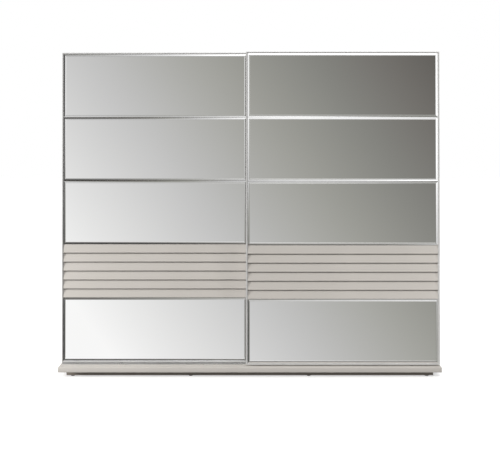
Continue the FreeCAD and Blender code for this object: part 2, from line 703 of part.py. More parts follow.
def write_all():
    os.makedirs("parts", exist_ok=True)
    for item in SUBPARTS:
        item.Shape.exportStep(os.path.join("parts", f"{item.Label}.step"))
        box = item.Shape.BoundBox
        print(f"{item.Label:22s} solids {len(item.Shape.Solids):2d} volume {item.Shape.Volume / 1000:10.1f}"
              f" x {box.XMin:8.1f} {box.XMax:8.1f} y {box.YMin:7.1f} {box.YMax:7.1f}"
              f" z {box.ZMin:7.1f} {box.ZMax:7.1f}")
    print("sub-parts", len(SUBPARTS))


make_plinth()
make_base_board()
make_carcass()
make_interior()
make_track()
make_lower_guide()
make_wall_brackets()
SCREW = make_carcass_fasteners()
for door_side, door_sizes in DOORS.items():
    make_door(door_side, door_sizes, SCREW)
check_all()
write_all()
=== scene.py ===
"""Looks of a two-door sliding wardrobe: materials, finely shaped pieces, studio and camera."""

import json
import math

import bmesh
import bpy
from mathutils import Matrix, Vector


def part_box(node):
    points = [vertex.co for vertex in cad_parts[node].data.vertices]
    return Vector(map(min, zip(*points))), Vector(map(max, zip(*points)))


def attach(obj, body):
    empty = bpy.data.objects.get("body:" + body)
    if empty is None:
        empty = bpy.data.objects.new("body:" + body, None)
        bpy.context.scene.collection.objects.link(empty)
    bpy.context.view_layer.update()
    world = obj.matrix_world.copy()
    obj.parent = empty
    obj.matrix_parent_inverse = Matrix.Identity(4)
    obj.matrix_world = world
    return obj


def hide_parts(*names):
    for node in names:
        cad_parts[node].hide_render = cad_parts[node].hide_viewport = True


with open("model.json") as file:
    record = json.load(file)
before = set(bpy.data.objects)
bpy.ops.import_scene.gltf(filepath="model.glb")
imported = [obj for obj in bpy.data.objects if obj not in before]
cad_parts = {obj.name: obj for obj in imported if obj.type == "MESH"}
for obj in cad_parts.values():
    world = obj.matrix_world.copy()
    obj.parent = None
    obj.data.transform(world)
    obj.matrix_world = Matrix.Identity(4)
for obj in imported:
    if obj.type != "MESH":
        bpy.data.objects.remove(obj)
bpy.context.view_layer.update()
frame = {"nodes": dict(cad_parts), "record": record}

SIDES = ("left", "right")
PANELS = (1, 2, 3, 4)
SLATS = 6
MM = 0.001


# ---------------------------------------------------------------- materials

class Shader:
    """A node material that is being built round one Principled shader."""

    def __init__(self, name):
        self.material = bpy.data.materials.new(name)
        self.material.use_nodes = True
        self.tree = self.material.node_tree
        self.bsdf = self.tree.nodes["Principled BSDF"]

    def node(self, kind, **settings):
        made = self.tree.nodes.new(kind)
        for key, value in settings.items():
            setattr(made, key, value)
        return made

    def join(self, source, target):
        self.tree.links.new(source, target)

    def constant(self, **values):
        """Set plain values on the shader's own sockets."""
        for key, value in values.items():
            self.bsdf.inputs[key.replace("_", " ")].default_value = value

    def place(self, stretch=(1, 1, 1)):
        """Object coordinates in metres, stretched along each axis."""
        coordinates = self.node("ShaderNodeTexCoord")
        mapping = self.node("ShaderNodeMapping")
        mapping.inputs["Scale"].default_value = stretch
        self.join(coordinates.outputs["Object"], mapping.inputs["Vector"])
        return mapping.outputs["Vector"]

    def noise(self, where, scale, detail=3.0, rough=0.5):
        made = self.node("ShaderNodeTexNoise")
        made.inputs["Scale"].default_value = scale
        made.inputs["Detail"].default_value = detail
        made.inputs["Roughness"].default_value = rough
        self.join(where, made.inputs["Vector"])
        return made.outputs["Fac"]

    def wave(self, where, scale, direction, warp=0.0):
        made = self.node("ShaderNodeTexWave", bands_direction=direction)
        made.inputs["Scale"].default_value = scale
        made.inputs["Distortion"].default_value = warp
        self.join(where, made.inputs["Vector"])
        return made.outputs["Fac"]

    def ramp(self, factor, stops):
        made = self.node("ShaderNodeValToRGB")
        elements = made.color_ramp.elements
        while len(elements) < len(stops):
            elements.new(0.5)
        for element, (position, colour) in zip(elements, stops):
            element.position = position
            element.color = (*colour, 1.0)
        self.join(factor, made.inputs["Fac"])
        return made.outputs["Color"]

    def spread(self, factor, low, high, start=0.3, end=0.7):
        """Map a texture's middle range onto low to high."""
        made = self.node("ShaderNodeMapRange")
        made.inputs["From Min"].default_value = start
        made.inputs["From Max"].default_value = end
        made.inputs["To Min"].default_value = low
        made.inputs["To Max"].default_value = high
        self.join(factor, made.inputs["Value"])
        return made.outputs["Result"]

    def mix(self, factor, first, second, blend="MIX"):
        made = self.node("ShaderNodeMix", data_type="RGBA", blend_type=blend)
        for socket, value in ((0, factor), (6, first), (7, second)):
            if isinstance(value, bpy.types.NodeSocket):
                self.join(value, made.inputs[socket])
            elif socket == 0:
                made.inputs[socket].default_value = value
            else:
                made.inputs[socket].default_value = (*value, 1.0)
        return made.outputs[2]

    def bump(self, height, depth, after=None):
        """Raise the surface by up to depth metres where height is one."""
        made = self.node("ShaderNodeBump")
        made.inputs["Distance"].default_value = depth
        self.join(height, made.inputs["Height"])
        if after:
            self.join(after, made.inputs["Normal"])
        self.join(made.outputs["Normal"], self.bsdf.inputs["Normal"])
        return made.outputs["Normal"]

    def colour(self, socket):
        self.join(socket, self.bsdf.inputs["Base Color"])

    def roughness(self, socket):
        self.join(socket, self.bsdf.inputs["Roughness"])


def shade(colour, factor):
    return tuple(channel * factor for channel in colour)


def lacquer(name, colour, rough):
    """Sprayed satin lacquer: faint clouding and a fine orange peel."""
    shader = Shader(name)
    where = shader.place()
    clouds = shader.noise(where, 2.6, 4.0)
    shader.colour(shader.ramp(clouds, [(0.3, shade(colour, 0.97)), (0.7, shade(colour, 1.02))]))
    shader.roughness(shader.spread(shader.noise(where, 30.0), rough - 0.03, rough + 0.04))
    peel = shader.bump(shader.noise(where, 420.0, 2.0), 0.00002)
    shader.bump(shader.noise(where, 9.0, 2.0), 0.0002, peel)
    shader.constant(Coat_Weight=0.2, Coat_Roughness=0.25)
    return shader.material


def melamine(name, colour, rough=0.48):
    """Melamine-faced board with a fine pearl grain in its surface."""
    shader = Shader(name)
    where = shader.place()
    fine = shader.noise(where, 700.0, 3.0)
    clouds = shader.noise(where, 3.0, 3.0)
    base = shader.ramp(clouds, [(0.3, shade(colour, 0.96)), (0.7, shade(colour, 1.03))])
    speckle = shader.ramp(fine, [(0.35, (0.93, 0.93, 0.92)), (0.6, (1.0, 1.0, 1.0))])
    shader.colour(shader.mix(1.0, base, speckle, "MULTIPLY"))
    shader.roughness(shader.spread(fine, rough - 0.06, rough + 0.08))
    shader.bump(fine, 0.00003)
    return shader.material


def linen_board(name, colour):
    """Interior board printed with a woven linen pattern, 2.5 mm from thread to thread."""
    shader = Shader(name)
    where = shader.place()
    threads = []
    for direction, stretch in (("X", (1.0, 0.12, 0.12)), ("Y", (0.12, 1.0, 0.12)), ("Z", (0.12, 0.12, 1.0))):
        streaks = shader.noise(shader.place(tuple(1.15 - part for part in stretch)), 240.0, 3.0)
        weave = shader.wave(where, 125.0, direction, 0.6)
        threads.append(shader.mix(0.45, shader.ramp(weave, [(0, (0.86,) * 3), (1, (1.0,) * 3)]),
                                  shader.ramp(streaks, [(0.3, (0.8,) * 3), (0.7, (1.0,) * 3)])))
    woven = shader.mix(0.5, shader.mix(0.5, threads[0], threads[1]), threads[2])
    clouds = shader.ramp(shader.noise(where, 4.0), [(0.3, shade(colour, 0.97)), (0.7, shade(colour, 1.05))])
    shader.colour(shader.mix(1.0, clouds, woven, "MULTIPLY"))
    shader.roughness(shader.spread(woven, 0.45, 0.62, 0.8, 1.0))
    shader.bump(woven, 0.00005)
    return shader.material


def hardboard(name, colour):
    """Lacquered hardboard with pressed fibres."""
    shader = Shader(name)
    where = shader.place()
    fibres = shader.noise(shader.place((1.0, 1.0, 0.5)), 260.0, 6.0, 0.7)
    clouds = shader.noise(where, 5.0, 4.0)
    base = shader.ramp(clouds, [(0.3, shade(colour, 0.98)), (0.7, shade(colour, 1.02))])
    flecks = shader.ramp(fibres, [(0.35, (0.82, 0.80, 0.76)), (0.62, (1.0, 1.0, 1.0))])
    shader.colour(shader.mix(1.0, base, flecks, "MULTIPLY"))
    shader.roughness(shader.spread(fibres, 0.5, 0.75))
    shader.bump(fibres, 0.00008)
    return shader.material


def dark_foil(name, colour):
    """Dark matt foil with a fine grain along the board."""
    shader = Shader(name)
    grain = shader.noise(shader.place((0.06, 1.0, 1.0)), 300.0, 5.0, 0.6)
    clouds = shader.noise(shader.place(), 6.0)
    base = shader.ramp(grain, [(0.35, shade(colour, 0.75)), (0.65, shade(colour, 1.2))])
    shader.colour(shader.mix(0.2, base, shader.ramp(clouds, [(0.3, shade(colour, 0.8)), (0.7, colour)])))
    shader.roughness(shader.spread(grain, 0.45, 0.6))
    shader.bump(grain, 0.00004)
    return shader.material


def mirror_glass(name, colour):
    """Silvered plate glass: the faintest wave of float glass and a few wiped streaks."""
    shader = Shader(name)
    where = shader.place()
    tint = shader.noise(where, 1.2, 2.0)
    shader.colour(shader.ramp(tint, [(0.3, shade(colour, 0.985)), (0.7, colour)]))
    wipes = shader.noise(shader.place((1.0, 1.0, 3.0)), 5.0, 5.0, 0.6)
    shader.roughness(shader.spread(wipes, 0.012, 0.03, 0.45, 0.75))
    shader.bump(shader.noise(where, 2.2, 1.0), 0.00004)
    shader.constant(Metallic=1.0)
    return shader.material


def polished(name, colour, rough=0.05):
    """Polished chrome with hairline marks."""
    shader = Shader(name)
    marks = shader.noise(shader.place((0.02, 1.0, 1.0)), 900.0, 4.0)
    clouds = shader.noise(shader.place(), 7.0, 3.0)
    shader.colour(shader.ramp(clouds, [(0.3, shade(colour, 0.97)), (0.7, colour)]))
    shader.roughness(shader.spread(marks, rough, rough + 0.05))
    shader.bump(marks, 0.000003)
    shader.constant(Metallic=1.0)
    return shader.material


def anodised(name, colour, rough=0.32, metal=1.0):
    """Satin anodised extrusion, with die lines along X and Z alike."""
    shader = Shader(name)
    lines = shader.noise(shader.place((0.05, 1.0, 0.05)), 220.0, 2.0)
    clouds = shader.noise(shader.place(), 5.0, 3.0)
    shader.colour(shader.ramp(clouds, [(0.3, shade(colour, 0.95)), (0.7, shade(colour, 1.03))]))
    shader.roughness(shader.spread(lines, rough - 0.03, rough + 0.05))
    shader.bump(lines, 0.0000005)
    shader.constant(Metallic=metal)
    return shader.material


def zinc_plate(name, colour):
    """Bright zinc on steel, clouded where the plating thins."""
    shader = Shader(name)
    where = shader.place()
    clouds = shader.noise(where, 45.0, 5.0, 0.65)
    thick = (colour[0] * 1.06, colour[1] * 1.03, colour[2] * 0.9)
    shader.colour(shader.ramp(clouds, [(0.3, shade(colour, 0.72)), (0.5, colour), (0.72, thick)]))
    shader.roughness(shader.spread(clouds, 0.22, 0.42))
    shader.bump(shader.noise(where, 500.0), 0.00001)
    shader.constant(Metallic=1.0)
    return shader.material


def moulded(name, colour, rough, grain):
    """Moulded plastic or rubber with a fine eroded texture."""
    shader = Shader(name)
    where = shader.place()
    texture = shader.noise(where, 900.0, 4.0)
    clouds = shader.noise(where, 40.0, 3.0)
    shader.colour(shader.ramp(clouds, [(0.3, shade(colour, 0.9)), (0.7, shade(colour, 1.06))]))
    shader.roughness(shader.spread(texture, rough - 0.06, rough + 0.08))
    shader.bump(texture, grain)
    return shader.material


GREIGE = (0.610, 0.580, 0.543)

materials = {
    "mirror_glass": mirror_glass("mirror_glass", (0.955, 0.955, 0.95)),
    "trim_chrome": polished("trim_chrome", (0.95, 0.95, 0.95), 0.04),
    "door_edging": anodised("door_edging", (0.66, 0.657, 0.65), 0.45, 0.15),
    "front_lacquer": lacquer("front_lacquer", GREIGE, 0.38),
    "door_board": melamine("door_board", shade(GREIGE, 0.95)),
    "carcass_board": melamine("carcass_board", GREIGE),
    "interior_board": linen_board("interior_board", (0.66, 0.62, 0.56)),
    "back_board": hardboard("back_board", (0.60, 0.555, 0.49)),
    "plinth_board": dark_foil("plinth_board", (0.38, 0.33, 0.285)),
    "track_aluminium": anodised("track_aluminium", (0.80, 0.80, 0.80), 0.28),
    "rail_chrome": polished("rail_chrome", (0.84, 0.84, 0.85), 0.07),
    "zinc_steel": zinc_plate("zinc_steel", (0.62, 0.63, 0.66)),
    "roller_nylon": moulded("roller_nylon", (0.80, 0.79, 0.75), 0.42, 0.00001),
    "glide_plastic": moulded("glide_plastic", (0.035, 0.035, 0.037), 0.5, 0.00003),
    "stop_rubber": moulded("stop_rubber", (0.022, 0.021, 0.02), 0.75, 0.00004),
}

for part in frame["record"]["subparts"]:
    mesh = frame["nodes"][part["node"]].data
    mesh.materials.clear()
    mesh.materials.append(materials[part["material_slot"]])


# ---------------------------------------------------------------- fine pieces

def finish_piece(name, bm, body, slot, *nodes, sharp=30.0):
    """Turn a bmesh into a piece that rides on a body and stands for the CAD nodes given."""
    bmesh.ops.remove_doubles(bm, verts=bm.verts, dist=1e-6)
    bmesh.ops.recalc_face_normals(bm, faces=bm.faces)
    for face in bm.faces:
        face.smooth = True
    limit = math.radians(sharp)
    for edge in bm.edges:
        edge.smooth = len(edge.link_faces) == 2 and edge.calc_face_angle(0.0) < limit
    mesh = bpy.data.meshes.new(name)
    bm.to_mesh(mesh)
    bm.free()
    mesh.materials.append(materials[slot])
    piece = bpy.data.objects.new(name, mesh)
    bpy.context.scene.collection.objects.link(piece)
    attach(piece, body)
    if nodes:
        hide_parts(*nodes)
    return piece


def arc(centre, radius, start, end, steps):
    """Points on an arc, in degrees from the first axis towards the second."""
    points = []
    for step in range(steps + 1):
        angle = math.radians(start + (end - start) * step / steps)
        points.append((centre[0] + radius * math.cos(angle), centre[1] + radius * math.sin(angle)))
    return points


def add_prism(bm, section, start, end, upright=False):
    """A section pushed along X from start to end, or stood up along Z, with both ends closed.

    The section's points are (y, z), or (x, y) where it is stood up.
    """
    rings = []
    for level in (start, end):
        places = [(*point, level) if upright else (level, *point) for point in section]
        rings.append([bm.verts.new(place) for place in places])
    count = len(section)
    for index in range(count):
        after = (index + 1) % count
        bm.faces.new((rings[0][index], rings[0][after], rings[1][after], rings[1][index]))
    bm.faces.new(rings[0])
    bm.faces.new(rings[1])


def add_frame(bm, low, high, front, left, right, bottom, top):
    """A mitred frame between two (x, z) corners, each bar with its own section.

    A section's points are (inset from the outer edge, depth behind front). All four share their depths.
    """
    corners = (
        (low[0], low[1], 1, 1, left, bottom),
        (high[0], low[1], -1, 1, right, bottom),
        (high[0], high[1], -1, -1, right, top),
        (low[0], high[1], 1, -1, left, top),
    )
    rings = []
    for x, z, inward_x, inward_z, upright, level in corners:
        rings.append([bm.verts.new((x + inward_x * inset, front + depth, z + inward_z * rise))
                      for (inset, depth), (rise, _) in zip(upright, level)])
    count = len(left)
    for bar in range(4):
        start, end = rings[bar], rings[(bar + 1) % 4]
        for index in range(count):
            after = (index + 1) % count
            bm.faces.new((start[index], start[after], end[after], end[index]))


# The strip round a door: set back, rounded outside, level up to its crest, falling inwards to a step.
EDGE_SET = 2.4 * MM
EDGE_ROUND = 1.3 * MM
EDGE_CREST = 0.42
EDGE_FALL = 1.6 * MM
EDGE_NARROW = 7.5 * MM
EDGE_WIDE = 10.6 * MM
EDGE_STEP = 8.7 * MM
# The reeded strip beside it.
STRIP_GROOVES = 5
STRIP_GROOVE = 1.0 * MM
STRIP_LIP = 0.5 * MM


def edging_section(width, full, depth):
    """The strip's section: crowned in front, falling inwards, with a step from width to full."""
    crest = width * EDGE_CREST
    section = [(0.0, depth), (0.0, EDGE_ROUND)]
    section += [(EDGE_ROUND - dx, EDGE_ROUND - dy) for dx, dy in arc((0, 0), EDGE_ROUND, 10, 80, 5)]
    section += [(crest + (width - crest) * across, EDGE_FALL * (1 - down))
                for across, down in arc((0, 0), 1.0, 90, 0, 8)]
    return section + [(width, EDGE_STEP), (full, EDGE_STEP), (full, depth)]


def make_edging(side):
    """The strip round a door, wider on the right door's uprights than elsewhere.

    The left door has a reeded strip beside its right edging, where the right door passes in front.
    """
    low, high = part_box(f"{side}_edging")
    leaf_low, leaf_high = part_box(f"{side}_door_leaf")
    width = leaf_low.x - low.x
    front = low.y + EDGE_SET
    depth = high.y - front
    narrow = edging_section(EDGE_NARROW, width, depth)
    upright = edging_section(EDGE_WIDE, width, depth) if side == "right" else narrow
    bm = bmesh.new()
    add_frame(bm, (low.x, low.z), (high.x, high.z), front, upright, upright, narrow, narrow)
    if side == "left":
        start, end = leaf_high.x, high.x - width
        pitch = (end - start) / STRIP_GROOVES
        face = front + EDGE_FALL
        section = [(end, high.y), (start, high.y)]
        for groove in range(STRIP_GROOVES):
            left = start + groove * pitch
            section += [(left, face + STRIP_LIP), (left + STRIP_GROOVE, face),
                        (left + pitch - STRIP_GROOVE, face), (left + pitch, face + STRIP_LIP)]
        add_prism(bm, section, low.z + width, high.z - width, upright=True)
    finish_piece(f"{side}_door_edging", bm, f"{side}_door", "door_edging", f"{side}_edging", sharp=25)


# A mirror's trim: the gap to its node's box, the crown's place and radius, and its slopes in degrees.
TRIM_GAP = 0.2 * MM
TRIM_CROWN = 7.6 * MM
TRIM_ROUND = 1.2 * MM
TRIM_OUTER = 28
TRIM_INNER = 24


def slope_fall(run, angle):
    """How far a trim's slope has fallen at run from the middle of its rounded crown."""
    level = TRIM_ROUND * math.sin(angle)
    return (run - level) * math.tan(angle) + TRIM_ROUND * (1 - math.cos(angle))


def make_trim(side, number):
    """A polished mirror trim: a steep outer slope, a rounded crown and a gentler inner slope.

    Its outer slope runs on down to the edging where that is narrow.
    """
    node = f"{side}_trim_{number}"
    low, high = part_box(node)
    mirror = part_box(f"{side}_mirror_{number}")
    width = mirror[0].x - low.x
    depth = high.y - low.y
    face = mirror[0].y - low.y
    outer = math.radians(TRIM_OUTER)
    rim = slope_fall(TRIM_CROWN, outer)
    lip = slope_fall(width - TRIM_CROWN, math.radians(TRIM_INNER))
    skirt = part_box(f"{side}_door_leaf")[0].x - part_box(f"{side}_edging")[0].x - EDGE_NARROW
    foot = rim + skirt * math.tan(outer)

    def section(reach):
        points = [(-reach, depth), (-reach, foot), (0.0, rim)]
        points += [(TRIM_CROWN + TRIM_ROUND * across, TRIM_ROUND * (1 - down))
                   for across, down in arc((0, 0), 1.0, 90 + TRIM_OUTER, 90 - TRIM_INNER, 6)]
        return points + [(width, lip), (width, face), (width, depth)]

    bm = bmesh.new()
    add_frame(
        bm, (low.x + TRIM_GAP, low.z + TRIM_GAP), (high.x - TRIM_GAP, high.z - TRIM_GAP), low.y,
        left=section(skirt if side == "left" else 0.0), right=section(0.0),
        bottom=section(skirt if number == PANELS[-1] else 0.0),
        top=section(skirt if number == PANELS[0] else 0.0),
    )
    finish_piece(f"{side}_mirror_trim_{number}", bm, f"{side}_door", "trim_chrome", node, sharp=20)


# A slat: how far its nose and its top stand behind the strip's front, and the gaps round it.
SLAT_NOSE = 1.5 * MM
SLAT_TOP = 14.5 * MM
TOP_SLAT_TOP = 9.0 * MM
NOSE_ROUND = 3.5 * MM
SLAT_LIFT = 0.6 * MM
SLAT_END = 0.5 * MM


def make_slats(side):
    """Six sloping slats, each with a rounded nose that hangs over the slat below."""
    low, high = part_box(f"{side}_slats")
    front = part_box(f"{side}_edging")[0].y
    pitch = (high.z - low.z) / SLATS
    slope = math.degrees(math.atan2(SLAT_TOP - SLAT_NOSE, pitch))
    for step in range(SLATS):
        foot = low.z + step * pitch + SLAT_LIFT
        top = low.z + (step + 1) * pitch
        centre = (front + SLAT_NOSE + NOSE_ROUND, foot + NOSE_ROUND)
        recess = SLAT_TOP if step < SLATS - 1 else TOP_SLAT_TOP
        section = [(high.y, foot), (high.y, top), (front + recess, top)]
        section += arc(centre, NOSE_ROUND, 180 - slope, 270, 9)
        bm = bmesh.new()
        add_prism(bm, section, low.x + SLAT_END, high.x - SLAT_END)
        finish_piece(f"{side}_slat_{step + 1}", bm, f"{side}_door", "front_lacquer", f"{side}_slats",
                     sharp=28)


def solids(node):
    """The boxes of a node's separate solids, as (low, high) pairs."""
    bm = bmesh.new()
    bm.from_mesh(frame["nodes"][node].data)
    bmesh.ops.remove_doubles(bm, verts=bm.verts, dist=1e-6)
    waiting = set(bm.verts)
    boxes = []
    while waiting:
        stack = [waiting.pop()]
        found = []
        while stack:
            vert = stack.pop()
            found.append(vert.co.copy())
            for edge in vert.link_edges:
                other = edge.other_vert(vert)
                if other in waiting:
                    waiting.remove(other)
                    stack.append(other)
        low = Vector(tuple(min(point[axis] for point in found) for axis in range(3)))
        high = Vector(tuple(max(point[axis] for point in found) for axis in range(3)))
        boxes.append((low, high))
    bm.free()
    return sorted(boxes, key=lambda box: tuple(round(value, 4) for value in box[0]))


def soften(corners, steps=4):
    """Round a polygon's corners, each given as (across, up, radius)."""
    points = []
    for index, (across, up, radius) in enumerate(corners):
        corner = Vector((across, up))
        if radius == 0:
            points.append((across, up))
            continue
        before = Vector(corners[index - 1][:2]) - corner
        after = Vector(corners[(index + 1) % len(corners)][:2]) - corner
        before.normalize()
        after.normalize()
        half = before.angle(after) / 2
        centre = corner + (before + after).normalized() * (radius / math.sin(half))
        start = corner + before * (radius / math.tan(half)) - centre
        end = corner + after * (radius / math.tan(half)) - centre
        for step in range(steps + 1):
            ray = start.lerp(end, step / steps).normalized() * radius
            points.append(tuple(centre + ray))
    return points


def add_lathe(bm, profile, origin, axis, segments=32):
    """Turn (radius, distance) points round an axis through origin; a radius of 0 closes an end."""
    turn = Vector(axis).to_track_quat("Z", "Y").to_matrix()
    rings = []
    for radius, distance in profile:
        if radius == 0:
            rings.append([bm.verts.new(Vector(origin) + turn @ Vector((0, 0, distance)))])
            continue
        ring = []
        for step in range(segments):
            angle = 2 * math.pi * step / segments
            point = Vector((radius * math.cos(angle), radius * math.sin(angle), distance))
            ring.append(bm.verts.new(Vector(origin) + turn @ point))
        rings.append(ring)
    for first, second in zip(rings, rings[1:]):
        for step in range(segments):
            after = (step + 1) % segments
            loop = [first[step % len(first)], first[after % len(first)],
                    second[after % len(second)], second[step % len(second)]]
            unique = list(dict.fromkeys(loop))
            if len(unique) > 2:
                bm.faces.new(unique)


def add_board(bm, low, high, radius):
    """A board whose edges are all eased by the radius."""
    made = bmesh.ops.create_cube(bm, size=1.0)["verts"]
    for vert in made:
        for axis in range(3):
            vert.co[axis] = high[axis] if vert.co[axis] > 0 else low[axis]
    edges = list(dict.fromkeys(edge for vert in made for edge in vert.link_edges))
    bmesh.ops.bevel(bm, geom=edges, offset=radius, segments=3, profile=0.5, affect="EDGES")


# How far each board's edges are eased, in millimetres.
BOARDS = {
    "base_board": 2.0, "plinth_front": 0.8, "plinth_back": 0.8, "plinth_ends": 0.6, "plinth_ribs": 0.6,
    "top_panel": 0.8, "back_panel_left": 0.4, "back_panel_right": 0.4, "shelf_left": 1.0,
    "shelf_right": 1.0,
}
SLOTS = {part["node"]: part["material_slot"] for part in frame["record"]["subparts"]}


def make_boards():
    """The carcass boards with eased edges."""
    for node, radius in BOARDS.items():
        bm = bmesh.new()
        for low, high in solids(node):
            add_board(bm, low, high, radius * MM)
        finish_piece(f"{node}_eased", bm, "carcass", SLOTS[node], node, sharp=50)


NAIL_PITCH = 160 * MM
NAIL_INSET = 6 * MM


def evenly(low, high, pitch):
    """Places between low and high, about a pitch apart and half of one from either end."""
    count = round((high - low) / pitch)
    return [low + (high - low) * (step + 0.5) / count for step in range(count)]


def make_back_nails():
    """Flat nail heads up both edges of each back panel and along its shelf."""
    bm = bmesh.new()
    head = [(0, 0.6 * MM), (1.4 * MM, 0.6 * MM), (2.4 * MM, 0.3 * MM), (2.5 * MM, -0.5 * MM), (0, -1 * MM)]
    for side in SIDES:
        low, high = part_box(f"back_panel_{side}")
        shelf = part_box(f"shelf_{side}")
        level = (shelf[0].z + shelf[1].z) / 2
        places = [(x, z) for x in (low.x + NAIL_INSET, high.x - NAIL_INSET)
                  for z in evenly(low.z, high.z, NAIL_PITCH)]
        places += [(x, level) for x in evenly(low.x, high.x, NAIL_PITCH)]
        for x, z in places:
            add_lathe(bm, head, (x, high.y, z), (0, 1, 0), 12)
    finish_piece("back_nails", bm, "carcass", "zinc_steel")


def make_lathed(name, node, body, axis, profile_of, segments=32, towards=None):
    """One turned solid for each solid of a node; profile_of gets its length and greatest radius.

    towards tells from a solid's middle whether it faces along the axis (1) or against it (-1).
    """
    bm = bmesh.new()
    index = axis.index(1)
    for low, high in solids(node):
        middle = (low + high) / 2
        facing = Vector(axis) * (towards(middle) if towards else 1)
        start = middle.copy()
        start[index] = low[index] if facing[index] > 0 else high[index]
        radius = (high - low)[(index + 1) % 3] / 2
        add_lathe(bm, profile_of(high[index] - low[index], radius), start, facing, segments)
    finish_piece(name, bm, body, SLOTS[node], node, sharp=40)


def screw_profile(shank, cap):
    """From the point to a domed head with a driver recess."""
    def build(length, head):
        under = length - cap
        return [
            (0, 0), (shank * 0.4, 0.6 * MM), (shank, 2.2 * shank), (shank, under - 0.4 * MM), (head, under),
            (head, under + cap * 0.35), (head * 0.86, under + cap * 0.75), (head * 0.6, length),
            (head * 0.38, length), (head * 0.3, under + cap * 0.4), (0, under + cap * 0.25),
        ]
    return build


def glide_profile(length, radius):
    """A floor glide with a rounded foot."""
    return [
        (0, 0), (radius - 3 * MM, 0), (radius - 0.8 * MM, 0.5 * MM), (radius, 1.6 * MM), (radius, length),
        (0, length),
    ]


def pin_profile(length, radius):
    """A shelf pin, chamfered at both ends."""
    ease = 0.6 * MM
    return [
        (0, 0), (radius - ease, 0), (radius, ease), (radius, length - ease), (radius - ease, length),
        (0, length),
    ]


def tube_profile(length, radius):
    """A tube, open at both ends."""
    wall = 1.5 * MM
    return [(radius - wall, 0), (radius, 0), (radius, length), (radius - wall, length), (radius - wall, 0)]


def socket_profile(length, radius):
    """A cup that holds the end of a hanging rail, with a rounded rim."""
    bore = 12.6 * MM
    floor = 3 * MM
    rim = [(radius - 2 * MM + across, length - 2 * MM + up)
           for across, up in arc((0, 0), 2 * MM, 0, 90, 4)]
    return [(0, 0), (radius, 0)] + rim + [
        (bore + 0.8 * MM, length), (bore, length - 0.8 * MM), (bore, floor), (0, floor),
    ]


# How far beyond a hanging rail's box its fittings may lie.
RAIL_REACH = 20 * MM


def towards_bay(middle):
    """Which way a fitting near a hanging rail's end faces: away from the board it is screwed to."""
    for side in SIDES:
        low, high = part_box(f"hanging_rail_{side}")
        if low.x - RAIL_REACH < middle.x < high.x + RAIL_REACH:
            return 1 if middle.x < (low.x + high.x) / 2 else -1
    return 1


def axle_profile(length, radius):
    """A riveted axle: a head, the pin, and a collar behind the roller."""
    pin = 3.0 * MM
    return [
        (0, 0.5 * MM), (1.5 * MM, 0.5 * MM), (1.8 * MM, 0), (radius - 1 * MM, 0), (radius, 0.6 * MM),
        (radius, 1.6 * MM), (pin, 1.6 * MM), (pin, length - 4.2 * MM), (radius - 0.3 * MM, length - 4.2 * MM),
        (radius, length - 3.9 * MM), (radius, length - 2.8 * MM), (radius - 0.3 * MM, length - 2.5 * MM),
        (pin, length - 2.5 * MM), (pin, length), (pin - 0.6 * MM, length + 0.5 * MM), (0, length + 0.6 * MM),
    ]


def make_screws():
    """The screws and bolts, as one piece for each node that holds them."""
    screw = screw_profile(2.0 * MM, 2.0 * MM)
    bolt = screw_profile(3.0 * MM, 0.5 * MM)
    make_lathed("top_screw_set", "top_screws", "carcass", (0, 0, 1), screw, 20)
    make_lathed("guide_screw_set", "guide_screws", "carcass", (0, 0, 1), screw, 20)
    make_lathed("carcass_bolt_set", "carcass_screws", "carcass", (0, 0, 1), bolt, 20)
    make_lathed("socket_screw_set", "socket_screws", "carcass", (1, 0, 0), screw, 20, towards_bay)
    for side in SIDES:
        make_lathed(f"{side}_door_screw_set", f"{side}_door_screws", f"{side}_door", (0, 1, 0), screw, 20)


# How many rivets a roller's bearing has.
RIVETS = 7


def make_roller(name):
    """A nylon tyre with rounded flanges on a steel bearing with a ring of rivets."""
    low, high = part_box(name)
    middle = (low + high) / 2
    half = (high.y - low.y) / 2
    rim = (high.z - low.z) / 2
    groove = 14.7 * MM
    tyre = [(8.4 * MM, -half + 1.2 * MM), (8.9 * MM, -half + 0.6 * MM), (rim - 2.6 * MM, -half + 0.6 * MM),
            (rim - 2.0 * MM, -half), (rim - 0.5 * MM, -half), (rim, -half + 0.5 * MM), (rim, -3.9 * MM),
            (groove, -1.8 * MM)]
    tyre += [(radius, -distance) for radius, distance in reversed(tyre)] + [tyre[0]]
    bm = bmesh.new()
    add_lathe(bm, tyre, middle, (0, 1, 0), 64)
    finish_piece(f"{name}_tyre", bm, name, "roller_nylon", name, sharp=30)
    race = [(3.05 * MM, -half), (5.2 * MM, -half), (5.6 * MM, -half + 0.5 * MM), (6.6 * MM, -half + 0.9 * MM),
            (7.6 * MM, -half + 0.5 * MM), (8.4 * MM, -half + 0.6 * MM)]
    race += [(radius, -distance) for radius, distance in reversed(race)] + [race[0]]
    bm = bmesh.new()
    add_lathe(bm, race, middle, (0, 1, 0), 48)
    dome = [(0.55 * MM, -0.1 * MM), (0.45 * MM, 0.25 * MM), (0, 0.4 * MM)]
    ring = 6.6 * MM
    for sign in (-1, 1):
        for step in range(RIVETS):
            angle = 2 * math.pi * step / RIVETS
            place = Vector((ring * math.cos(angle), sign * (half - 0.9 * MM), ring * math.sin(angle)))
            add_lathe(bm, dome, middle + place, (0, sign, 0), 10)
    finish_piece(f"{name}_bearing", bm, name, "zinc_steel", name, sharp=30)


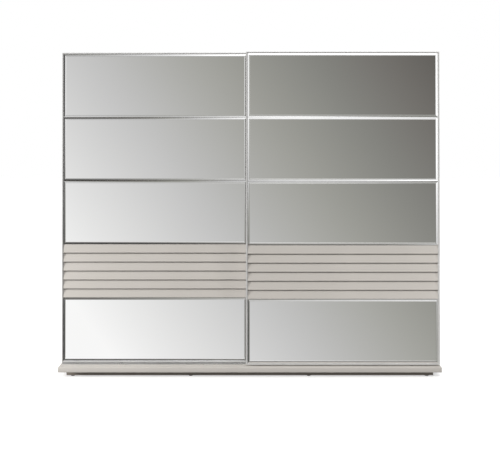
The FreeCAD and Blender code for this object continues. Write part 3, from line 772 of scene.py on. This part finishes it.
def make_hangers(side):
    """Folded steel plates with rounded bends, up from the door's back and over to the roller."""
    bm = bmesh.new()
    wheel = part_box(f"{side}_roller_outer")
    foot = (wheel[0].z + wheel[1].z) / 2 - 9 * MM
    thick = 2.5 * MM
    outer = 4 * MM
    inner = outer - thick
    for low, high in solids(f"{side}_hangers"):
        section = soften([
            (low.y, low.z, 0), (low.y, high.z, outer), (high.y, high.z, outer), (high.y, foot, 0.6 * MM),
            (high.y - thick, foot, 0.6 * MM), (high.y - thick, high.z - thick, inner),
            (low.y + thick, high.z - thick, inner), (low.y + thick, low.z, 0.8 * MM),
        ])
        add_prism(bm, section, low.x, high.x)
    finish_piece(f"{side}_hanger_plates", bm, f"{side}_door", "zinc_steel", f"{side}_hangers", sharp=35)


def make_shoes(side):
    """Slippery guide shoes with eased corners and a tongue that hangs into the guide."""
    bm = bmesh.new()
    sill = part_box(f"{side}_edging")[0].z + 2 * MM
    for low, high in solids(f"{side}_guide_shoes"):
        tongue = high.y - 4.6 * MM
        section = soften([
            (low.y, high.z, 0), (low.y, sill, 0.4 * MM), (tongue, sill, 0.6 * MM), (tongue, low.z, 1.0 * MM),
            (high.y, low.z, 1.0 * MM), (high.y, high.z, 3.0 * MM),
        ])
        add_prism(bm, section, low.x, high.x)
    finish_piece(f"{side}_shoe_pair", bm, f"{side}_door", "glide_plastic", f"{side}_guide_shoes", sharp=35)


def make_track():
    """The extruded top track: two ribs, each ending in the bead that the rollers run on."""
    low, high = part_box("top_track")
    base = low.z + 2.5 * MM
    level = low.z + 14 * MM
    flare = [(2.6 * MM, 0.0), (1.8 * MM, 0.3 * MM), (1.5 * MM, 1.1 * MM)]
    corners = [(low.y, low.z, 0.4 * MM), (high.y, low.z, 0.4 * MM), (high.y, base, 0.8 * MM)]
    section = soften(corners + [(low.y, base, 0.8 * MM)], 3)
    left_end = section[-4:]
    section = section[:-4]
    for side in ("right", "left"):
        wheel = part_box(f"{side}_roller_outer")
        rib = (wheel[0].y + wheel[1].y) / 2
        section += [(rib + across, base + rise) for across, rise in flare]
        section += arc((rib, level), 3 * MM, -60, 240, 20)
        section += [(rib - across, base + rise) for across, rise in reversed(flare)]
    section += left_end
    bm = bmesh.new()
    add_prism(bm, section, low.x, high.x)
    finish_piece("top_track_extrusion", bm, "carcass", "track_aluminium", "top_track", sharp=25)


def make_guide():
    """The bottom guide: two channels between rounded lips on a thin base."""
    low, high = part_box("bottom_guide")
    wall = 1.4 * MM
    slot = 5.4 * MM
    base = low.z + 1.5 * MM
    lip = 0.6 * MM
    steps = [low.y, low.y + wall, low.y + wall + slot, low.y + 2 * wall + slot]
    mirrored = [low.y + high.y - step for step in reversed(steps)]
    corners = [(low.y, low.z, 0), (high.y, low.z, 0)]
    for far, near, mouth, edge in (reversed(mirrored), reversed(steps)):
        corners += [(far, high.z, lip), (near, high.z, lip), (near, base, 0.3 * MM), (mouth, base, 0.3 * MM),
                    (mouth, high.z, lip), (edge, high.z, lip)]
        if edge > low.y:
            corners += [(edge, base, 0.3 * MM), (steps[3], base, 0.3 * MM)]
    bm = bmesh.new()
    add_prism(bm, soften(corners, 3), low.x, high.x)
    finish_piece("bottom_guide_extrusion", bm, "carcass", "track_aluminium", "bottom_guide", sharp=25)


def make_stops():
    """Rubber buffers that straddle a bead of the track."""
    bm = bmesh.new()
    slot = 3.2 * MM
    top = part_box("top_track")[1].z + 0.2 * MM
    for low, high in solids("track_stops"):
        middle = (low.y + high.y) / 2
        section = soften([
            (low.y, low.z, 0.5 * MM), (middle - slot, low.z, 0), (middle - slot, top, 1.5 * MM),
            (middle + slot, top, 1.5 * MM), (middle + slot, low.z, 0), (high.y, low.z, 0.5 * MM),
            (high.y, high.z, 2.5 * MM), (low.y, high.z, 2.5 * MM),
        ])
        add_prism(bm, section, low.x, high.x)
    finish_piece("track_buffers", bm, "carcass", "stop_rubber", "track_stops", sharp=35)


for side in SIDES:
    make_edging(side)
    for number in PANELS:
        make_trim(side, number)
    make_slats(side)
    make_hangers(side)
    make_shoes(side)
    make_lathed(f"{side}_axle_pair", f"{side}_axles", f"{side}_door", (0, 1, 0), axle_profile)
    for place in ("outer", "inner"):
        make_roller(f"{side}_roller_{place}")
    make_lathed(f"hanging_tube_{side}", f"hanging_rail_{side}", "carcass", (1, 0, 0), tube_profile, 64)
make_boards()
make_back_nails()
make_screws()
make_track()
make_guide()
make_stops()
make_lathed("glide_set", "floor_glides", "carcass", (0, 0, 1), glide_profile, 40)
make_lathed("shelf_pin_set", "shelf_pins", "carcass", (1, 0, 0), pin_profile, 16)
make_lathed("rail_socket_set", "rail_sockets", "carcass", (1, 0, 0), socket_profile, 48, towards_bay)


# ---------------------------------------------------------------- studio and camera

class Sum:
    """Arithmetic on a node tree's sockets, one Math node per operation."""

    def __init__(self, tree):
        self.tree = tree

    def math(self, operation, *values):
        made = self.tree.nodes.new("ShaderNodeMath")
        made.operation = operation
        for socket, value in zip(made.inputs, values):
            if isinstance(value, bpy.types.NodeSocket):
                self.tree.links.new(value, socket)
            else:
                socket.default_value = value
        return made.outputs[0]

    def ease(self, value, start, end, low=0.0, high=1.0):
        """A smooth step from low at start to high at end."""
        made = self.tree.nodes.new("ShaderNodeMapRange")
        made.interpolation_type = "SMOOTHSTEP"
        for key, number in (("From Min", start), ("From Max", end), ("To Min", low), ("To Max", high)):
            made.inputs[key].default_value = number
        self.tree.links.new(value, made.inputs["Value"])
        return made.outputs["Result"]

    def blend(self, factor, first, second):
        """first where factor is 0, second where it is 1."""
        change = self.math("SUBTRACT", second, first)
        return self.math("MULTIPLY_ADD", factor, change, first)

    def curve(self, value, stops, place):
        """A grey ramp over value, from 0 to 1; place turns a stop's degrees into its place."""
        made = self.tree.nodes.new("ShaderNodeValToRGB")
        made.color_ramp.interpolation = "EASE"
        elements = made.color_ramp.elements
        while len(elements) < len(stops):
            elements.new(0.5)
        for element, (degrees, grey) in zip(elements, stops):
            element.position = place(degrees)
            element.color = (grey, grey, grey, 1.0)
        self.tree.links.new(value, made.inputs["Fac"])
        return made.outputs["Color"]


def by_bearing(degrees):
    """A bearing from straight ahead, left being negative, as a place from 0 to 1."""
    return (degrees + 180) / 360


def by_height(degrees):
    """A height above the horizon as a place from 0 to 1."""
    return (degrees + 90) / 180


# What shiny surfaces see, as display greys. Ahead: the grey at the middle, how it changes with each
# metre across and up on a wall a metre away, and its darkest and brightest.
FRONT_LEVEL = 0.674
FRONT_ACROSS = -0.722
FRONT_UP = -0.530
FRONT_DARKEST = 0.28
FRONT_BRIGHTEST = 0.995
NEAREST_REACH = 0.25
# To the sides: by bearing, at two heights.
SIDE_HIGH = [
    (-180, 0.60), (-110, 0.12), (-72, 0.04), (-66, 0.20), (-57, 1.12), (-48, 0.72), (-32, 1.2),
    (32, 0.84), (48, 0.60), (57, 1.08), (72, 1.3), (130, 1.1), (180, 0.60),
]
SIDE_LOW = [
    (-180, 0.40), (-110, 0.05), (-72, 0.0), (-66, 0.05), (-57, 0.12), (-48, 0.60), (-32, 0.68),
    (32, 0.20), (48, 0.60), (57, 0.16), (72, 0.66), (130, 0.60), (180, 0.40),
]
# Steeply up and down: by height, on the left and on the right.
RISE_LEFT = [
    (-90, 0.05), (-72, 0.06), (-66, 0.08), (-61, 0.14), (-58, 0.28), (-54, 0.08), (-50, 0.85),
    (-38, 0.82), (28, 0.10), (32, 0.20), (41, 0.30), (44, 0.84), (49, 0.80), (52, 0.30), (57, 0.18),
    (61, 0.70), (64, 0.85), (90, 0.85),
]
RISE_RIGHT = [
    (-90, 0.40), (-72, 0.42), (-66, 0.44), (-61, 0.50), (-58, 0.90), (-53, 1.3), (-50, 0.55),
    (-44, 0.72), (-38, 0.98), (28, 0.42), (32, 0.50), (41, 0.75), (44, 0.55), (49, 0.62), (52, 0.92),
    (57, 1.15), (61, 1.35), (64, 1.4), (90, 1.3),
]
# Where one gives way to the next, in degrees.
HIGH_TO_LOW = (5, -17)
FRONT_TO_SIDE = (19.0, 27.0)
LEFT_TO_RIGHT = (-30, 8)
LEVEL_TO_UP = (14.0, 24.0)
LEVEL_TO_DOWN = (-21.0, -30.0)
# The cast of the dark greys: from one grey to another, a factor that fades to 1.
RED_CAST = (0.42, 0.54, 1.05)
BLUE_CAST = (0.60, 0.80, 0.925)
# What matt surfaces get from below and above, and the heights between which it changes.
GLOW_BELOW = 0.10
GLOW_ABOVE = 0.30
GLOW_RISE = (-14.4, 21.6)
WARM_WHITE = (1.0, 0.99, 0.975)


def make_world():
    """White to the camera, a soft glow to matt surfaces and a graded studio to shiny ones."""
    world = bpy.data.worlds.new("studio")
    bpy.context.scene.world = world
    world.use_nodes = True
    tree = world.node_tree
    tree.nodes.clear()
    count = Sum(tree)

    direction = tree.nodes.new("ShaderNodeTexCoord").outputs["Generated"]
    parts = tree.nodes.new("ShaderNodeSeparateXYZ")
    tree.links.new(direction, parts.inputs[0])
    across, along, up = parts.outputs
    ahead = count.math("MULTIPLY", along, -1.0)
    turn = count.math("ARCTAN2", across, ahead)
    turn = count.math("MULTIPLY_ADD", turn, 0.5 / math.pi, 0.5)
    height = count.math("MULTIPLY_ADD", count.math("ARCSINE", up), 1 / math.pi, 0.5)
    reach = count.math("MAXIMUM", ahead, NEAREST_REACH)

    front = count.math("MULTIPLY_ADD", count.math("DIVIDE", across, reach), FRONT_ACROSS, FRONT_LEVEL)
    front = count.math("MULTIPLY_ADD", count.math("DIVIDE", up, reach), FRONT_UP, front)
    front = count.math("MINIMUM", count.math("MAXIMUM", front, FRONT_DARKEST), FRONT_BRIGHTEST)

    high = count.curve(turn, SIDE_HIGH, by_bearing)
    low = count.curve(turn, SIDE_LOW, by_bearing)
    side = count.blend(count.ease(height, *map(by_height, HIGH_TO_LOW)), high, low)
    off_middle = count.math("ABSOLUTE", count.math("MULTIPLY_ADD", turn, 360.0, -180.0))
    level = count.blend(count.ease(off_middle, *FRONT_TO_SIDE), front, side)

    left = count.curve(height, RISE_LEFT, by_height)
    right = count.curve(height, RISE_RIGHT, by_height)
    steep = count.blend(count.ease(turn, *map(by_bearing, LEFT_TO_RIGHT)), left, right)
    tilt = count.math("MULTIPLY_ADD", height, 180.0, -90.0)
    steepness = count.math("MAXIMUM", count.ease(tilt, *LEVEL_TO_UP), count.ease(tilt, *LEVEL_TO_DOWN))
    grey = count.blend(steepness, level, steep)
    light = count.math("POWER", grey, 2.2)
    cast = tree.nodes.new("ShaderNodeCombineColor")
    tree.links.new(count.math("MULTIPLY", light, count.ease(grey, *RED_CAST)), cast.inputs[0])
    tree.links.new(light, cast.inputs[1])
    tree.links.new(count.math("MULTIPLY", light, count.ease(grey, *BLUE_CAST)), cast.inputs[2])

    shiny = tree.nodes.new("ShaderNodeBackground")
    tree.links.new(cast.outputs[0], shiny.inputs["Color"])
    matt = tree.nodes.new("ShaderNodeBackground")
    matt.inputs["Color"].default_value = (*WARM_WHITE, 1.0)
    glow = count.ease(height, *map(by_height, GLOW_RISE), GLOW_BELOW, GLOW_ABOVE)
    tree.links.new(glow, matt.inputs["Strength"])
    white = tree.nodes.new("ShaderNodeBackground")
    white.inputs["Color"].default_value = (1.0, 1.0, 1.0, 1.0)
    path = tree.nodes.new("ShaderNodeLightPath")
    lit = tree.nodes.new("ShaderNodeMixShader")
    tree.links.new(path.outputs["Is Glossy Ray"], lit.inputs[0])
    tree.links.new(matt.outputs[0], lit.inputs[1])
    tree.links.new(shiny.outputs[0], lit.inputs[2])
    seen = tree.nodes.new("ShaderNodeMixShader")
    tree.links.new(path.outputs["Is Camera Ray"], seen.inputs[0])
    tree.links.new(lit.outputs[0], seen.inputs[1])
    tree.links.new(white.outputs[0], seen.inputs[2])
    output = tree.nodes.new("ShaderNodeOutputWorld")
    tree.links.new(seen.outputs[0], output.inputs[0])


# Suns: bearing from straight ahead, height, power and softness. Angles are in degrees.
SUNS = {
    "key": (-9.0, 42.0, 1.22, 2.5),
    "left_wash": (-68.0, 15.0, 1.85, 6.0),
}
# Soft lamps: place, target, size in metres and power in watts.
LAMPS = {
    "left_strip": ((-2.55, -1.0, 1.3), (0.0, -0.31, 1.0), (0.2, 2.2), 20.0),
    "right_strip": ((2.75, -1.1, 1.3), (0.0, -0.31, 1.0), (0.2, 2.2), 15.0),
    "back_fill": ((1.2, 4.2, 3.0), (0.0, 0.3, 1.0), (2.5, 1.5), 120.0),
}


def add_light(name, data):
    """A lamp object that shiny surfaces don't show."""
    lamp = bpy.data.objects.new(name, data)
    lamp.visible_glossy = False
    bpy.context.scene.collection.objects.link(lamp)
    return lamp


def make_lights():
    """The suns and the soft lamps."""
    for name, (bearing, height, power, softness) in SUNS.items():
        data = bpy.data.lights.new(name, "SUN")
        data.energy = power
        data.angle = math.radians(softness)
        data.color = WARM_WHITE
        add_light(name, data).rotation_euler = (math.radians(90 - height), 0.0, math.radians(bearing))
    for name, (place, target, size, power) in LAMPS.items():
        data = bpy.data.lights.new(name, "AREA")
        data.shape = "RECTANGLE"
        data.size, data.size_y = size
        data.energy = power
        lamp = add_light(name, data)
        lamp.location = place
        lamp.rotation_euler = (Vector(target) - Vector(place)).to_track_quat("-Z", "Y").to_euler()


FLOOR_HALF = 30.0
FLOOR_GLOW = 0.42


def make_floor():
    """A pale floor, wide enough to have no edge in view, that neither lights nor shows in the object."""
    bm = bmesh.new()
    bmesh.ops.create_grid(bm, x_segments=1, y_segments=1, size=FLOOR_HALF)
    mesh = bpy.data.meshes.new("floor")
    bm.to_mesh(mesh)
    bm.free()
    shader = Shader("floor")
    shader.constant(Base_Color=(0.9, 0.9, 0.9, 1.0), Roughness=0.9, Specular_IOR_Level=0.0,
                    Emission_Color=(1.0, 1.0, 1.0, 1.0), Emission_Strength=FLOOR_GLOW)
    mesh.materials.append(shader.material)
    floor = bpy.data.objects.new("floor", mesh)
    floor.visible_glossy = False
    floor.visible_diffuse = False
    bpy.context.scene.collection.objects.link(floor)


# The camera: its distance from the right door, height and upward tilt in degrees, and its lens.
CAMERA_DISTANCE = 4.2
CAMERA_HEIGHT = 1.468
CAMERA_TILT = 0.5
CAMERA_LENS = 46.6
CAMERA_SHIFT = (0.0004, -0.1763)


def make_camera():
    """A camera at standing height, tilted up half a degree, with the view shifted down."""
    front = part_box("right_edging")[0].y
    data = bpy.data.cameras.new("camera")
    data.sensor_width = 36.0
    data.lens = CAMERA_LENS
    data.shift_x, data.shift_y = CAMERA_SHIFT
    camera = bpy.data.objects.new("camera", data)
    camera.location = (0.0, front - CAMERA_DISTANCE, CAMERA_HEIGHT)
    camera.rotation_euler = (math.radians(90 + CAMERA_TILT), 0.0, 0.0)
    bpy.context.scene.collection.objects.link(camera)
    bpy.context.scene.camera = camera


make_world()
make_floor()
make_lights()
make_camera()
bpy.context.scene.view_settings.view_transform = "Standard"
